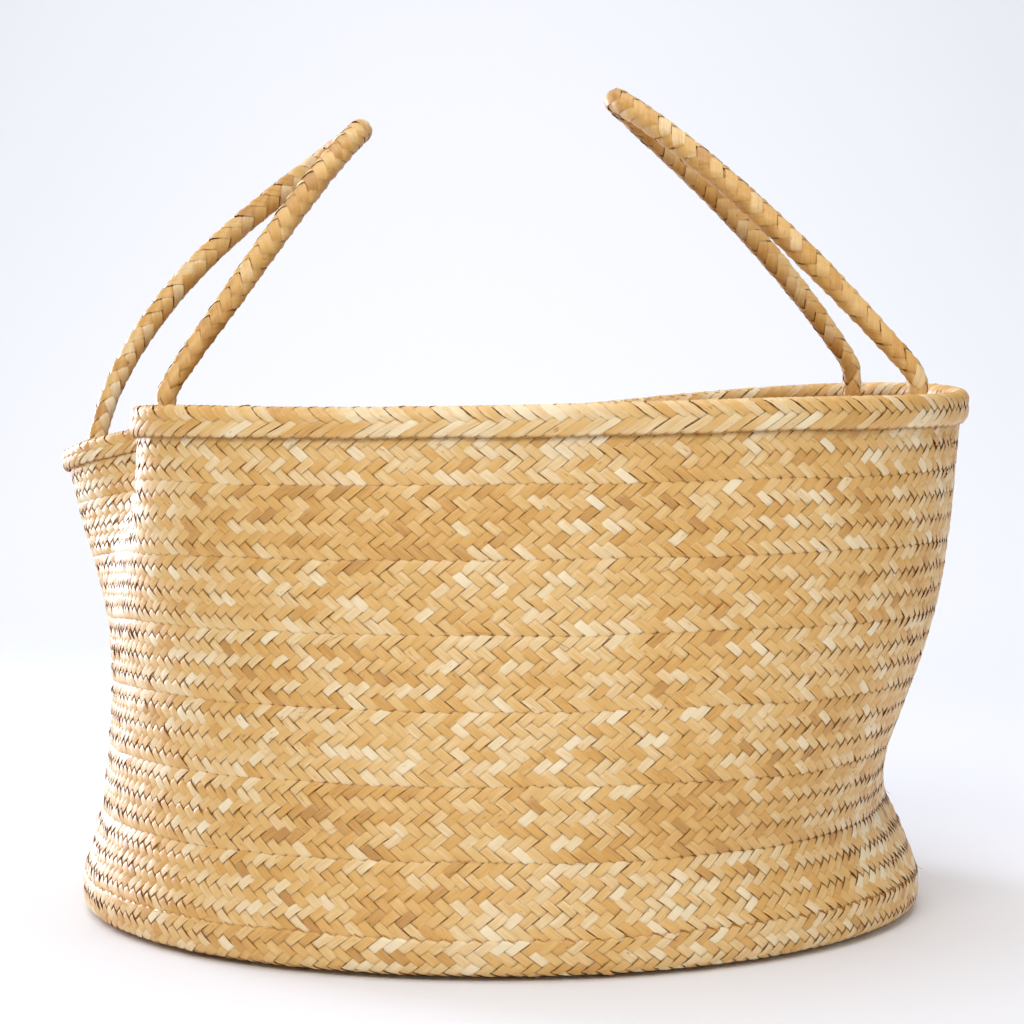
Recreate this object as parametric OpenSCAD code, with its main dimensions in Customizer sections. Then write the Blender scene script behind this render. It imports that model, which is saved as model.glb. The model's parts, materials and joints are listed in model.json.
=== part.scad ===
// Seagrass storage basket: plaited straps sewn edge to edge, a folded rim binding
// and two braided loop handles that swing over the opening.
// Origin: centre of the base on the floor. +Z is up, +X is to the right, -Y is the front.

/* [Basket] */
// Diameter of the round base
base_d = 497; // [360:5:640]
// Number of strap turns in the wall
wall_turns = 7; // [4:1:9]
// Reach of the rim to the right of the centre
rim_right = 279; // [200:1:340]
// Reach of the rim to the left of the centre
rim_left = 274; // [200:1:340]
// Reach of the rim to the front of the centre
rim_front = 205; // [170:1:300]
// Reach of the rim to the back of the centre
rim_back = 205; // [170:1:300]

/* [Plaited strap] */
// Width of the strap
strap_w = 37; // [28:0.1:46]
// Thickness of the strap
strap_t = 4; // [2.5:0.1:5]
// How far the middle of the strap stands out
strap_bulge = 0.8; // [0:0.1:1.5]
// Gap between two turns, filled by the lacing cord
seam_gap = 1.2; // [0.8:0.1:2]
// Radius of the bend from the base to the wall
heel_r = 12; // [8:0.5:20]
// Height of the first seam above the floor
heel_top = 21; // [18:0.5:30]
// Flat width of the strap that makes the bend
heel_flat = 15; // [6:0.5:22]

/* [Rim binding] */
// Height of the folded binding
binding_h = 18; // [14:0.5:26]
// Thickness of one leg of the binding
binding_t = 4.3; // [3:0.1:6]
// Number of stitches round the rim
rim_stitches = 60; // [24:4:90]
// Diameter of the stitching thread
thread_d = 1.4; // [0.8:0.1:2]

/* [Shape of the soft wall] */
// Depth of the fold in the rim at the front left
left_fold = 56; // [0:1:60]
// Depth of the waist on the left side
left_waist = 27; // [0:1:32]
// Depth of the waist on the right side
right_waist = 28; // [0:1:32]
// Lift of the rim at the back right
right_lift = 17; // [0:0.5:24]
// Dip of the rim at the left lobe
left_dip = 26; // [0:0.5:30]

/* [Handles] */
// Diameter of the braided handle
handle_d = 13; // [10:0.5:16]
// Diameter of the cord inside the handle
core_d = 8; // [4:0.5:9]
// Length of the right loop, along the bow from the rim to its top
right_loop = 227; // [160:1:300]
// Length of the left loop, along the bow from the rim to its top
left_loop = 225; // [160:1:300]
// Length of the handle's ends inside the wall
tail_l = 60; // [40:1:90]
// Height of the swing axis above the rim
pivot_lift = 8.5; // [8:0.1:12]
// Clearance between the ends of the loop and the sewn tails
neck_gap = 0.6; // [0.3:0.1:1.5]
// Diameter of the lashing cord round the tails
lash_d = 2; // [1.2:0.1:3]

/* [Hidden] */
// Points round the basket, and round and along a handle
round_n = 90;
handle_sides = 10;
handle_rings = 26;
tail_rings = 5;

// Strap turns
base_r = base_d / 2;
pitch = strap_w + seam_gap;
heel_start = base_r - heel_r - heel_flat;
base_turns = floor((heel_start - 20) / pitch);
centre_r = heel_start - base_turns * pitch - seam_gap;
fit = 0.3;
slot = strap_bulge + fit;
wall_top = heel_top + wall_turns * pitch;
rim_h = wall_top + fit + binding_t;
binding_low = rim_h - binding_h;

// Dents of the soft wall: angle, spread, height, spread below, spread above, depth, slant per degree
dents = [
    [197, 9, rim_h, 55, 999, left_fold, 0],
    [180, 40, 150, 90, 60, left_waist, 0],
    [-5, 38, 78, 31, 52, right_waist, 1]
];
// Height over which the dents fade out towards the floor
dent_fade = 60;
// Waves of the rim: angle, spread, lift
waves = [
    [25, 32, right_lift],
    [170, 17, -left_dip],
    [215, 14, 3],
    [115, 25, -6],
    [270, 40, 3],
    [-44, 24, 5]
];
// Squareness of the plan at the rim, where 2 is an ellipse
plan_power = 2.2;

// Handles: angles of the front and back ends, loop length, lean of the front and back leg
// at the rim, mean lean of the whole loop, side, and how square the top of the loop is
right_handle = [-20, 25, right_loop, 41.5, 34, 45.4, 1, 1.4];
left_handle = [215, 171, left_loop, 38.5, 18, 40.8, -1, 2.2];
// Places of the lashings, as shares of the tail's length above its lower end
lash_places = [0.33, 0.5, 0.69];

function numbered(stem, count) = [for (i = [1:count]) str(stem, i)];

straw = [0.86, 0.70, 0.42];
deep_straw = [0.78, 0.58, 0.30];
cord_colour = [0.62, 0.47, 0.27];

// ---------------------------------------------------------------- shape of the wall

function bell(x) = exp(-0.5 * x * x);
function ramp(x) = let (u = min(1, max(0, x))) u * u * (3 - 2 * u);
function turned(a, b) = let (d = (a - b) % 360) d > 180 ? d - 360 : d < -180 ? d + 360 : d;

function dent(d, t, h) =
    let (dt = turned(t, d[0]), dh = h - d[2] - d[6] * dt)
    d[5] * bell(dt / d[1]) * bell(dh / (dh < 0 ? d[3] : d[4])) * ramp(h / dent_fade);

function all_dents(t, h) = let (m = [for (d = dents) dent(d, t, h)]) m * [for (d = dents) 1];

// Reach of the wall's outer face towards one side at height h
function reach(rim, h) = base_r + (rim - binding_t - slot - base_r) * h / rim_h;

// Radius of the wall's outer face at angle t and height h along the wall
function wall_r(t, h) =
    let (
        a = reach(cos(t) > 0 ? rim_right : rim_left, h),
        b = reach(sin(t) > 0 ? rim_back : rim_front, h),
        n = 2 + (plan_power - 2) * ramp(h / rim_h)
    )
    pow(pow(abs(cos(t)) / a, n) + pow(abs(sin(t)) / b, n), -1 / n) - all_dents(t, h);

function rim_lift(t) = let (m = [for (w = waves) w[2] * bell(turned(t, w[0]) / w[1])]) m * [for (w = waves) 1];

// Height above the floor of the point that lies h along the wall
function wall_z(t, h) = h + rim_lift(t) * pow(h / rim_h, 2.5);

// Point at angle t and height h, standing out of the wall's outer face
function on_wall(t, h, out = 0) =
    let (r = wall_r(t, h) + out) [r * cos(t), r * sin(t), wall_z(t, h)];

// ---------------------------------------------------------------- solids from rings

function flat(lists) = [for (l = lists) each l];

// Closed ring of sections, each with m points
module ring_solid(sections) {
    n = len(sections);
    m = len(sections[0]);
    function at(i, j) = (i % n) * m + j % m;
    polyhedron(
        points = flat(sections),
        faces = flat([for (i = [0:n - 1]) for (j = [0:m - 1]) [
            [at(i, j), at(i + 1, j + 1), at(i + 1, j)],
            [at(i, j), at(i, j + 1), at(i + 1, j + 1)]
        ]])
    );
}

// Solid rod through rings of k points, closed by flat ends
module rod_solid(rings) {
    n = len(rings);
    k = len(rings[0]);
    function at(i, j) = i * k + j % k;
    polyhedron(
        points = flat(rings),
        faces = concat(
            [[for (j = [0:k - 1]) j]],
            flat([for (i = [0:n - 2]) for (j = [0:k - 1]) [
                [at(i, j), at(i + 1, j), at(i + 1, j + 1)],
                [at(i, j), at(i + 1, j + 1), at(i, j + 1)]
            ]]),
            [[for (j = [k - 1:-1:0]) (n - 1) * k + j]]
        )
    );
}

// Hollow rod between two lists of rings
module pipe_solid(outer, inner) {
    n = len(outer);
    k = len(outer[0]);
    inside = n * k;
    function at(i, j) = i * k + j % k;
    polyhedron(
        points = concat(flat(outer), flat(inner)),
        faces = concat(
            flat([for (i = [0:n - 2]) for (j = [0:k - 1]) [
                [at(i, j), at(i + 1, j), at(i + 1, j + 1)],
                [at(i, j), at(i + 1, j + 1), at(i, j + 1)],
                [inside + at(i, j), inside + at(i + 1, j + 1), inside + at(i + 1, j)],
                [inside + at(i, j), inside + at(i, j + 1), inside + at(i + 1, j + 1)]
            ]]),
            flat([for (j = [0:k - 1]) [
                [at(0, j), at(0, j + 1), inside + at(0, j + 1)],
                [at(0, j), inside + at(0, j + 1), inside + at(0, j)],
                [at(n - 1, j), inside + at(n - 1, j + 1), at(n - 1, j + 1)],
                [at(n - 1, j), inside + at(n - 1, j), inside + at(n - 1, j + 1)]
            ]])
        )
    );
}

// Ring of points of radius r round p, in the plane of u and v
function ring(p, u, v, r, k) = [for (j = [0:k - 1]) p + r * (cos(360 * j / k) * u + sin(360 * j / k) * v)];

function unit(v) = v / norm(v);

round_steps = [for (i = [0:round_n - 1]) 360 * i / round_n];

// ---------------------------------------------------------------- straps

module flat_ring(inner, outer, height) {
    rotate_extrude($fn = 120) translate([inner, 0]) square([outer - inner, height]);
}

module base_centre() {
    color(straw) cylinder(h = strap_t, r = centre_r, $fn = 120);
}

module base_course(i) {
    outer = heel_start - (base_turns - i) * pitch - seam_gap;
    color(straw) flat_ring(outer - strap_w, outer, strap_t);
}

// The strap that bends up from the base, scaled outwards to meet the wall's first seam
module heel_course() {
    bend = [0, 30, 60, 90];
    // Round the base lacing, the many-sided inner edge stays just outside its circle
    inner_edge = heel_start / cos(180 / round_n);
    function leg(r) = concat(
        [[inner_edge, heel_r - r]],
        [for (a = bend) [base_r - heel_r + r * sin(a), heel_r - r * cos(a)]],
        [[base_r - heel_r + r, heel_top]]
    );
    inner = leg(heel_r - strap_t);
    outline = concat(leg(heel_r), [for (i = [len(inner) - 1:-1:0]) inner[i]]);
    color(straw) ring_solid([for (t = round_steps)
        let (stretch = (wall_r(t, heel_top) - heel_start) / (base_r - heel_start))
        [for (p = outline)
            let (r = heel_start + (p[0] - heel_start) * stretch)
            [r * cos(t), r * sin(t), wall_z(t, p[1])]]]);
}

module wall_course(i) {
    low = heel_top + (i - 1) * pitch + seam_gap;
    high = heel_top + i * pitch;
    middle = (low + high) / 2;
    color(straw) ring_solid([for (t = round_steps) [
        on_wall(t, low), on_wall(t, middle, strap_bulge), on_wall(t, high),
        on_wall(t, high, -strap_t), on_wall(t, middle, -strap_t), on_wall(t, low, -strap_t)
    ]]);
}

module base_lacing() {
    color(cord_colour) for (i = [0:base_turns]) {
        outer = heel_start - (base_turns - i) * pitch;
        flat_ring(outer - seam_gap, outer, strap_t);
    }
}

module wall_lacing() {
    color(cord_colour) for (i = [0:wall_turns - 1]) {
        low = heel_top + i * pitch;
        high = low + seam_gap;
        ring_solid([for (t = round_steps) [
            on_wall(t, low), on_wall(t, high), on_wall(t, high, -strap_t), on_wall(t, low, -strap_t)
        ]]);
    }
}

// ---------------------------------------------------------------- rim

module rim_binding() {
    shoulder = rim_h - binding_t * 0.7;
    outside = slot + binding_t;
    inside = strap_t + fit;
    inner_face = inside + binding_t;
    color(deep_straw) ring_solid([for (t = round_steps) [
        on_wall(t, binding_low, outside), on_wall(t, shoulder, outside),
        on_wall(t, rim_h, outside - binding_t), on_wall(t, rim_h, -inside),
        on_wall(t, shoulder, -inner_face), on_wall(t, binding_low, -inner_face),
        on_wall(t, binding_low, -inside), on_wall(t, wall_top + fit, -inside),
        on_wall(t, wall_top + fit, slot), on_wall(t, binding_low, slot)
    ]]);
}

module rim_thread() {
    h = binding_low + 4;
    color(cord_colour) for (i = [0:rim_stitches - 1]) {
        t = 360 * (i + 0.5) / rim_stitches;
        a = on_wall(t, h, slot + binding_t);
        b = on_wall(t, h, -strap_t - fit - binding_t);
        translate(b) rotate([0, 90, t]) cylinder(h = norm(a - b), d = thread_d, $fn = 8);
    }
}

// ---------------------------------------------------------------- handles

// Distance of a tail's middle line inside the wall's outer face
tail_in = strap_t + fit + binding_t + 2 * fit + handle_d / 2;

function tail_point(t, h) = on_wall(t, h, -tail_in);
// The two points that a loop swings about
function pivot(t) = tail_point(t, rim_h) + [0, 0, pivot_lift];
function pivots(hd) = [pivot(hd[0]), pivot(hd[1])];
function axis_of(hd) = let (p = pivots(hd)) unit(p[1] - p[0]);
function inwards(hd) = hd[6] * unit(cross([0, 0, 1], axis_of(hd)));
function upwards(hd) = let (u = cross(axis_of(hd), inwards(hd))) u[2] > 0 ? u : -u;

// Lean of the leg at the rim, which turns from the front leg's to the back leg's over the loop
function first_lean(hd, a) = hd[3] + (hd[4] - hd[3]) * a / 180;
function lean_at(hd, a) =
    let (first = first_lean(hd, a))
    first + 2 * (hd[5] - first) * pow(abs(sin(a)), 2 / hd[7]);

// Point of a loop at angle a, which runs from 0 at the front end to 180 at the back end
function loop_point(hd, a) =
    let (
        p = pivots(hd),
        half = norm(p[1] - p[0]) / 2,
        across = -half * sign(cos(a)) * pow(abs(cos(a)), 2 / hd[7]),
        first = first_lean(hd, a),
        lean = lean_at(hd, a),
        bow = hd[2] * 180 / PI / (2 * (hd[5] - first))
    )
    (p[0] + p[1]) / 2 + axis_of(hd) * across
        + inwards(hd) * bow * (cos(first) - cos(lean))
        + upwards(hd) * bow * (sin(lean) - sin(first));

// Angles closer together near the top of the loop, where it turns
loop_steps = [for (i = [0:handle_rings])
    let (s = i / handle_rings) 180 * (s - 0.04 * sin(360 * s))];

function loop_ring(hd, a, r) =
    let (
        here = loop_point(hd, a),
        lean = first_lean(hd, a),
        leg = upwards(hd) * cos(lean) + inwards(hd) * sin(lean),
        along = a < 1 ? leg : a > 179 ? -leg : unit(loop_point(hd, a + 0.5) - loop_point(hd, a - 0.5)),
        face = upwards(hd) * -sin(lean_at(hd, a)) + inwards(hd) * cos(lean_at(hd, a)),
        u = unit(face - along * (face * along))
    )
    ring(here, u, cross(along, u), r, handle_sides);

module handle_sleeve(hd) {
    color(deep_straw) pipe_solid(
        [for (a = loop_steps) loop_ring(hd, a, handle_d / 2)],
        [for (a = loop_steps) loop_ring(hd, a, core_d / 2)]
    );
}

module handle_core(hd) {
    color(cord_colour) rod_solid([for (a = loop_steps) loop_ring(hd, a, core_d / 2)]);
}

// The end of a handle, lying against the wall's inner face below its pivot
module handle_tail(t) {
    along = unit(pivot(t) - tail_point(t, binding_low));
    out = [cos(t), sin(t), 0];
    u = unit(out - along * (out * along));
    v = cross(along, u);
    top = pivot(t) - along * (handle_d / 2 + neck_gap);
    color(deep_straw) rod_solid(concat(
        [ring(tail_point(t, rim_h - tail_l) - [0, 0, 2], u, v, handle_d * 0.38, handle_sides)],
        [for (i = [0:tail_rings - 1])
            ring(tail_point(t, rim_h - tail_l * (1 - i / tail_rings)), u, v, handle_d / 2, handle_sides)],
        [ring(top, u, v, handle_d / 2, handle_sides)]
    ));
}

// Turns of cord round a tail, each sewn through the middle of the wall behind it
module handle_lashing(t) {
    inner_side = (handle_d + lash_d) / 2;
    wall_side = tail_in - strap_t / 2;
    color(cord_colour) for (place = lash_places) {
        p = tail_point(t, rim_h - tail_l * (1 - place));
        translate(p) rotate([0, 0, t]) translate([(wall_side - inner_side) / 2, 0, 0])
            rotate_extrude($fn = 32)
                translate([(wall_side + inner_side) / 2, 0]) circle(d = lash_d, $fn = 16);
    }
}

// ---------------------------------------------------------------- nodes

base_centre();
for (i = [1:base_turns]) base_course(i);
heel_course();
for (i = [1:wall_turns]) wall_course(i);
base_lacing();
wall_lacing();
rim_binding();
rim_thread();
handle_sleeve(left_handle);  // left_handle_sleeve
handle_core(left_handle);  // left_handle_core
handle_sleeve(right_handle);  // right_handle_sleeve
handle_core(right_handle);  // right_handle_core
handle_tail(left_handle[0]);  // left_front_tail
handle_tail(left_handle[1]);  // left_back_tail
handle_tail(right_handle[0]);  // right_front_tail
handle_tail(right_handle[1]);  // right_back_tail
handle_lashing(left_handle[0]);  // left_front_lashing
handle_lashing(left_handle[1]);  // left_back_lashing
handle_lashing(right_handle[0]);  // right_front_lashing
handle_lashing(right_handle[1]);  // right_back_lashing
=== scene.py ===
"""Looks of a soft seagrass basket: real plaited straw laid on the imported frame.

Everything is in metres, in the frame's own axes. The strands are modelled one by one: a single strand is
shaped with bmesh, repeated along a strap with an Array modifier, and the flat plait is then laid on the
surface that the frame's node gives.
"""

import json
import logging
import math
from dataclasses import dataclass, field
from enum import Enum
from typing import Callable, ClassVar, Optional, Sequence

import bmesh
import bpy
import numpy as np
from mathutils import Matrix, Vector


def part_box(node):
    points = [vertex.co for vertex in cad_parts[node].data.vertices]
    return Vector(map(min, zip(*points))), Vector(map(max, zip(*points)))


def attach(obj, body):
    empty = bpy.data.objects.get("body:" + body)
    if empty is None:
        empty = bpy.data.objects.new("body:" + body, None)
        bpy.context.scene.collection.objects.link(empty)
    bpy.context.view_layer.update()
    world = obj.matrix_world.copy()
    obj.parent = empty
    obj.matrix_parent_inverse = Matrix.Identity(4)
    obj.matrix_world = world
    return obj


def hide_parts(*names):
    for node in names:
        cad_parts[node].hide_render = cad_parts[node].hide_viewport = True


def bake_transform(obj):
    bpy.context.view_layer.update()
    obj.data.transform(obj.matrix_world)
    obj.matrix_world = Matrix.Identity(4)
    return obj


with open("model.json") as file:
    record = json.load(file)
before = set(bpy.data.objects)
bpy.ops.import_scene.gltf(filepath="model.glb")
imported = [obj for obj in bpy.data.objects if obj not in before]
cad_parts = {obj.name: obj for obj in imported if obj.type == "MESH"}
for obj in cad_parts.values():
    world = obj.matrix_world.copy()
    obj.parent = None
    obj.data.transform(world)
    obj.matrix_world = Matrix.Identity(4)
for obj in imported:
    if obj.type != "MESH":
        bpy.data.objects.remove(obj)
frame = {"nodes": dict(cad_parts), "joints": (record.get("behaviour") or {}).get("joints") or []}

log = logging.getLogger("basket")
MM = 0.001
ROUND = 720
Colour = tuple[float, float, float]


# ------------------------------------------------------------------ shader maths


class Socket:
    """A shader output with arithmetic: an expression on sockets adds its Math nodes."""

    def __init__(self, graph: "Graph", output: bpy.types.NodeSocket) -> None:
        """Wraps one output of a graph's node."""
        self.graph, self.output = graph, output

    def _math(self, operation: str, a: object, b: object = 0.0) -> "Socket":
        """Adds one Math node for two numbers or sockets."""
        return self.graph.node("ShaderNodeMath", {"operation": operation}, {0: a, 1: b})

    def __add__(self, other: object) -> "Socket":
        """Sum."""
        return self._math("ADD", self, other)

    def __mul__(self, other: object) -> "Socket":
        """Product."""
        return self._math("MULTIPLY", self, other)

    def __sub__(self, other: object) -> "Socket":
        """Difference."""
        return self._math("SUBTRACT", self, other)

    def __rsub__(self, other: object) -> "Socket":
        """Reflected difference, as in 1 - mask."""
        return self._math("SUBTRACT", other, self)

    def above(self, low: float, high: float) -> "Socket":
        """Turns the stretch from low to high into 0 to 1, clamped and smooth."""
        return self.graph.node(
            "ShaderNodeMapRange",
            {"interpolation_type": "SMOOTHSTEP"},
            {"Value": self, "From Min": low, "From Max": high},
        )


class Graph:
    """A material's node tree, with one method that makes every node."""

    def __init__(self, name: str) -> None:
        """Starts an empty material.

        Args:
            name: the material's name.
        """
        self.material = bpy.data.materials.new(name)
        self.material.use_nodes = True
        self.tree = self.material.node_tree
        self.tree.nodes.clear()

    def node(self, kind: str, settings: Optional[dict] = None, inputs: Optional[dict] = None,
             output: object = 0) -> Socket:
        """Adds a node.

        Args:
            kind: the node's type.
            settings: its properties; "stops" sets a colour ramp's places and colours.
            inputs: values or sockets by input name or number.
            output: the output to hand back, by name or number.

        Returns:
            The chosen output, ready for arithmetic.
        """
        made = self.tree.nodes.new(kind)
        for key, value in (settings or {}).items():
            if key == "stops":
                ramp = made.color_ramp
                while len(ramp.elements) < len(value):
                    ramp.elements.new(0.5)
                for element, (place, colour) in zip(ramp.elements, value):
                    element.position, element.color = place, (*colour, 1.0)
            else:
                setattr(made, key, value)
        for key, value in (inputs or {}).items():
            if isinstance(value, Socket):
                self.tree.links.new(value.output, made.inputs[key])
            else:
                made.inputs[key].default_value = value
        return Socket(self, made.outputs[output])

    def stretched(self, vector: Socket, scale: Colour) -> Socket:
        """Scales a vector along each axis."""
        return self.node("ShaderNodeVectorMath", {"operation": "MULTIPLY"}, {0: vector, 1: scale})

    def noise(self, vector: Socket, scale: float, detail: float, rough: float = 0.5) -> Socket:
        """Adds a noise of the given scale, detail and roughness."""
        return self.node("ShaderNodeTexNoise", {}, {"Vector": vector, "Scale": scale, "Detail": detail,
                                                    "Roughness": rough})

    def tinted(self, colour: Socket, tint: Colour, much: Socket) -> Socket:
        """Multiplies a colour by a tint, as much as the factor says."""
        return self.node("ShaderNodeMix", {"data_type": "RGBA", "blend_type": "MULTIPLY"},
                         {"Factor": much, 6: colour, 7: (*tint, 1.0)}, output=2)

    def finish(self, shader: Socket) -> bpy.types.Material:
        """Sends a shader to the surface and hands back the material."""
        out = self.tree.nodes.new("ShaderNodeOutputMaterial")
        self.tree.links.new(shader.output, out.inputs["Surface"])
        return self.material


# ------------------------------------------------------------------ finishes


@dataclass(frozen=True)
class Straw:
    """Dry leaf strands: each strand has its own tone, with fine fibres along it, and painted shade where it
    dives under its neighbours.
    """

    name: str
    dark: Colour = (0.55, 0.275, 0.070)
    gold: Colour = (0.72, 0.395, 0.100)
    straw: Colour = (0.80, 0.510, 0.185)
    pale: Colour = (0.92, 0.765, 0.490)
    # painted shade: the tint that darkens strands where they dive under their neighbours
    painted_shade: Colour = (0.62, 0.47, 0.32)
    speck: Colour = (0.50, 0.33, 0.20)
    rough: float = 0.46
    gloss: float = 0.18
    fibre_depth: float = 0.0003
    tone_shift: float = 0.0

    STREAKS: ClassVar[tuple] = (2600.0, 60.0, 13.0)
    BANDS: ClassVar[tuple] = (420.0, 55.0, 7.0)
    SPECKS: ClassVar[tuple] = (500.0, 160.0, 3.0)

    def material(self) -> bpy.types.Material:
        """Builds the material.

        Returns:
            A Principled material that reads the strand attributes.
        """
        g = Graph(self.name)
        fibre = g.node("ShaderNodeAttribute", {"attribute_name": "fibre"}, output="Vector")
        tone = g.node("ShaderNodeAttribute", {"attribute_name": "tone"}, output="Fac")
        depth = g.node("ShaderNodeAttribute", {"attribute_name": "depth"}, output="Fac")
        place = g.node("ShaderNodeTexCoord", {}, output="Object")
        streak = g.noise(g.stretched(fibre, self.STREAKS), 1.0, 3.0, 0.6)
        band = g.noise(g.stretched(fibre, self.BANDS), 1.0, 2.0)
        patch = g.noise(place, 14.0, 2.0)
        speck = g.noise(g.stretched(fibre, self.SPECKS), 1.0, 1.0)
        mix = tone + self.tone_shift + (streak - 0.5) * 0.62 + (band - 0.5) * 0.44 + (patch - 0.5) * 0.44
        colour = g.node("ShaderNodeValToRGB", {"stops": [
            (0.0, self.dark), (0.26, self.gold), (0.56, self.straw), (0.95, self.pale)]},
            {"Fac": mix}, output="Color")
        # Painted shade: the colour is darkened towards the shade tint where a strand lies low, diving under
        # its neighbours.
        shade_darkened = g.tinted(colour, self.painted_shade, 1.0 - depth.above(-1.1, 0.2))
        spotted = g.tinted(shade_darkened, self.speck, speck.above(0.70, 0.80) * 0.55)
        rough = (streak - 0.5) * 0.25 + (band - 0.5) * 0.2 + self.rough
        bump = g.node("ShaderNodeBump", {}, {"Strength": 0.55, "Distance": self.fibre_depth,
                                             "Height": streak * 0.7 + band * 0.6}, output="Normal")
        shader = g.node("ShaderNodeBsdfPrincipled", {}, {
            "Base Color": spotted, "Roughness": rough, "Normal": bump, "Coat Weight": self.gloss,
            "Coat Roughness": 0.35}, output="BSDF")
        return g.finish(shader)


@dataclass(frozen=True)
class Floor:
    """A plain pale studio floor."""

    name: str = "studio_floor"
    colour: Colour = (0.90, 0.92, 0.96)
    rough: float = 0.75

    def material(self) -> bpy.types.Material:
        """Builds the matt floor."""
        g = Graph(self.name)
        shader = g.node("ShaderNodeBsdfPrincipled", {},
                        {"Base Color": (*self.colour, 1.0), "Roughness": self.rough}, output="BSDF")
        return g.finish(shader)


# ------------------------------------------------------------------ surfaces read from the frame


def merged_points(node: str) -> tuple[np.ndarray, np.ndarray, list]:
    """Reads a node's mesh with its doubled points merged.

    Args:
        node: the node's name.

    Returns:
        The points, the edges as index pairs, and the faces as index lists.
    """
    bm = bmesh.new()
    bm.from_mesh(frame["nodes"][node].data)
    bmesh.ops.remove_doubles(bm, verts=bm.verts, dist=2e-5)
    bm.verts.index_update()
    points = np.array([v.co for v in bm.verts])
    edges = np.array([[v.index for v in e.verts] for e in bm.edges])
    faces = [[v.index for v in f.verts] for f in bm.faces]
    bm.free()
    return points, edges, faces


def spline(values: np.ndarray, at: np.ndarray, closed: bool) -> np.ndarray:
    """Catmull-Rom interpolation along the first axis.

    Args:
        values: the points to pass through.
        at: places, counted in points from the first.
        closed: whether the row of points is a loop.

    Returns:
        The interpolated points.
    """
    n = len(values)
    i = np.floor(at).astype(int)
    i = i if closed else np.clip(i, 0, n - 2)
    f = (at - i).reshape((-1,) + (1,) * (values.ndim - 1))

    def pick(k: int) -> np.ndarray:
        j = (i + k) % n if closed else np.clip(i + k, 0, n - 1)
        return values[j]

    a, b, c, d = pick(-1), pick(0), pick(1), pick(2)
    return 0.5 * (2 * b + (c - a) * f + (2 * a - 5 * b + 4 * c - d) * f**2 + (3 * b - a - 3 * c + d) * f**3)


@dataclass
class Sheet:
    """A strap's middle surface, as a fine grid of points and normals.

    The first axis runs across the strap and the second along it. x is metres along the strap, and y
    goes from 0 at one edge to 1 at the other.
    """

    points: np.ndarray
    closed: bool
    length: float = field(init=False)
    normals: np.ndarray = field(init=False)

    def __post_init__(self) -> None:
        """Works out the normals and the length."""
        p = self.points
        if self.closed:
            along = np.roll(p, -1, 1) - np.roll(p, 1, 1)
        else:
            along = np.gradient(p, axis=1)
        across = np.gradient(p, axis=0)
        n = np.cross(along, across)
        self.normals = n / np.maximum(np.linalg.norm(n, axis=2, keepdims=True), 1e-12)
        middle = p[len(p) // 2]
        steps = np.linalg.norm(np.diff(middle, axis=0), axis=1).sum()
        if self.closed:
            steps += float(np.linalg.norm(middle[0] - middle[-1]))
        self.length = float(steps)

    def place(self, x: np.ndarray, y: np.ndarray, out: np.ndarray) -> np.ndarray:
        """Lays points on the surface.

        Args:
            x: metres along the strap.
            y: 0 to 1 across it, and a little past either edge.
            out: metres out of the surface.

        Returns:
            Their places in the frame.
        """
        rows, cols = self.points.shape[:2]
        fx = x / self.length * (cols if self.closed else cols - 1)
        fy = y * (rows - 1)
        i = np.floor(fx).astype(int)
        i = i if self.closed else np.clip(i, 0, cols - 2)
        u = (fx - i)[:, None]
        i0, i1 = i % cols, (i + 1) % cols
        j = np.clip(np.floor(fy).astype(int), 0, rows - 2)
        v = (fy - j)[:, None]

        def blend(a: np.ndarray) -> np.ndarray:
            lower = a[j, i0] * (1 - u) + a[j, i1] * u
            upper = a[j + 1, i0] * (1 - u) + a[j + 1, i1] * u
            return lower * (1 - v) + upper * v

        return blend(self.points) + blend(self.normals) * out[:, None]


def ring_levels(node: str) -> tuple[np.ndarray, np.ndarray]:
    """Sorts the points of a ring-shaped node by angle.

    Args:
        node: a node made of one section repeated at even angles.

    Returns:
        The angles, and the points of each angle sorted by height and then outwards.
    """
    points, _, _ = merged_points(node)
    angle = np.degrees(np.arctan2(points[:, 1], points[:, 0])) % 360
    steps = np.unique(np.round(angle).astype(int) % 360)
    per = round(len(points) / len(steps))
    columns = []
    for a in steps:
        near = np.abs((angle - a + 180) % 360 - 180) < 0.6
        p = points[near]
        order = np.lexsort((np.hypot(p[:, 0], p[:, 1]), np.round(p[:, 2], 5)))
        columns.append(p[order][:per])
    return steps, np.array(columns)


def even_round(levels: np.ndarray) -> np.ndarray:
    """Resamples loops of points at even steps of length along the middle loop.

    Args:
        levels: points, first axis across the strap, second axis round the basket.

    Returns:
        The same with ROUND points a loop.
    """
    n = levels.shape[1]
    fine = np.arange(ROUND * 4) * n / (ROUND * 4)
    middle = spline(levels[len(levels) // 2], fine, True)
    step = np.linalg.norm(np.roll(middle, -1, 0) - middle, axis=1)
    run = np.concatenate([[0], np.cumsum(step)])
    wanted = np.arange(ROUND) * run[-1] / ROUND
    at = np.interp(wanted, run, np.arange(len(run)) * n / (ROUND * 4))
    return np.array([spline(level, at, True) for level in levels])


def smooth(share: np.ndarray) -> np.ndarray:
    """Eases shares of 0 to 1 in and out."""
    return share * share * (3 - 2 * share)


def round_points(r: np.ndarray, a: np.ndarray, z: np.ndarray) -> np.ndarray:
    """Turns radius, angle and height into points."""
    return np.stack([r * np.cos(a), r * np.sin(a), z], axis=-1)


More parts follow.
